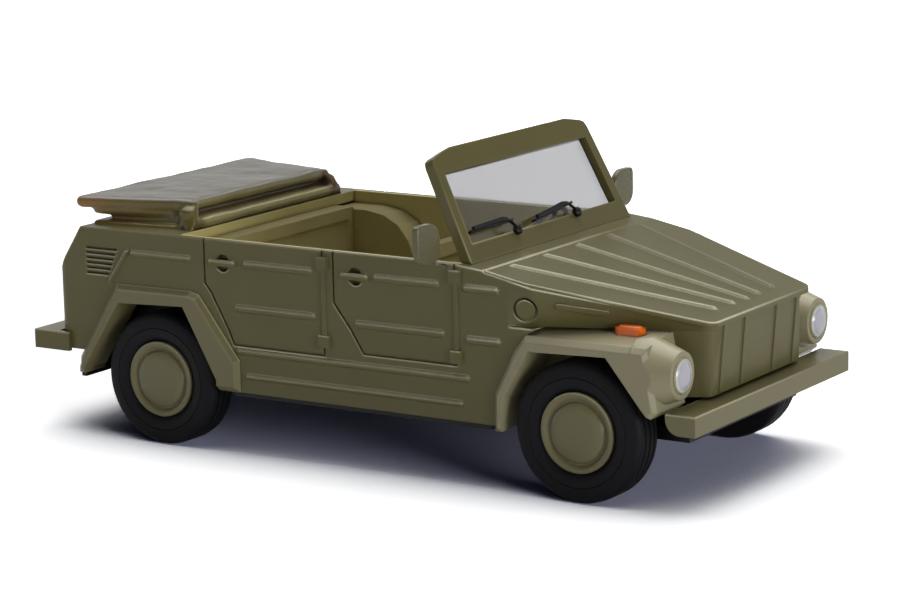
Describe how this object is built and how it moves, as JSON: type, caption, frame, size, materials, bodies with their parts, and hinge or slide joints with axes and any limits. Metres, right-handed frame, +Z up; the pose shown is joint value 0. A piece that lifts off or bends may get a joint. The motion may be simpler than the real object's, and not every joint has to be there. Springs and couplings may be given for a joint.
{
  "type": "scale model army car",
  "caption": "Small plastic scale model of an open army four-by-four car with its soft top folded behind the rear bench; it rolls on steel axles.",
  "frame": {"origin": "on the floor under the tyres, midway between the bumper faces and the two sides", "axes": "+X to the car's front, +Y to the car's left, +Z up"},
  "size_m": [0.0436, 0.0228, 0.0179],
  "materials": {
    "olive_plastic": "satin",
    "cabin_plastic": "satin",
    "hood_plastic": "satin",
    "black_plastic": "matte",
    "tyre_plastic": "matte",
    "clear_plastic": "polished",
    "mirror_plastic": "polished",
    "orange_plastic": "glossy",
    "red_plastic": "glossy",
    "axle_steel": "brushed"
  },
  "bodies": {
    "body": {"body_shell": "olive_plastic", "windscreen_frame": "olive_plastic", "windscreen_pane": "clear_plastic", "wiper_left": "black_plastic", "wiper_right": "black_plastic", "mirror_left": "mirror_plastic", "mirror_right": "mirror_plastic", "chassis": "black_plastic", "front_bumper": "olive_plastic", "rear_bumper": "olive_plastic", "front_wing_left": "olive_plastic", "front_wing_right": "olive_plastic", "rear_wing_left": "olive_plastic", "rear_wing_right": "olive_plastic", "interior_tub": "cabin_plastic", "seat_left": "cabin_plastic", "seat_right": "cabin_plastic", "rear_bench": "cabin_plastic", "steering_wheel": "black_plastic", "headlamp_left": "clear_plastic", "headlamp_right": "clear_plastic", "indicator_left": "orange_plastic", "indicator_right": "orange_plastic", "tail_lamp_left": "red_plastic", "tail_lamp_right": "red_plastic", "folded_top": "hood_plastic"},
    "front_axle_set": {"front_axle": "axle_steel", "tyre_front_left": "tyre_plastic", "tyre_front_right": "tyre_plastic", "wheel_disc_front_left": "olive_plastic", "wheel_disc_front_right": "olive_plastic"},
    "rear_axle_set": {"rear_axle": "axle_steel", "tyre_rear_left": "tyre_plastic", "tyre_rear_right": "tyre_plastic", "wheel_disc_rear_left": "olive_plastic", "wheel_disc_rear_right": "olive_plastic"}
  },
  "joints": [
    {"name": "front_axle_spin", "type": "hinge", "parent": "body", "child": "front_axle_set", "pos_m": [0.01486, 0, 0.00383], "axis": [0, 1, 0], "continuous": true},
    {"name": "rear_axle_spin", "type": "hinge", "parent": "body", "child": "rear_axle_set", "pos_m": [-0.01273, 0, 0.00383], "axis": [0, 1, 0], "continuous": true}
  ]
}
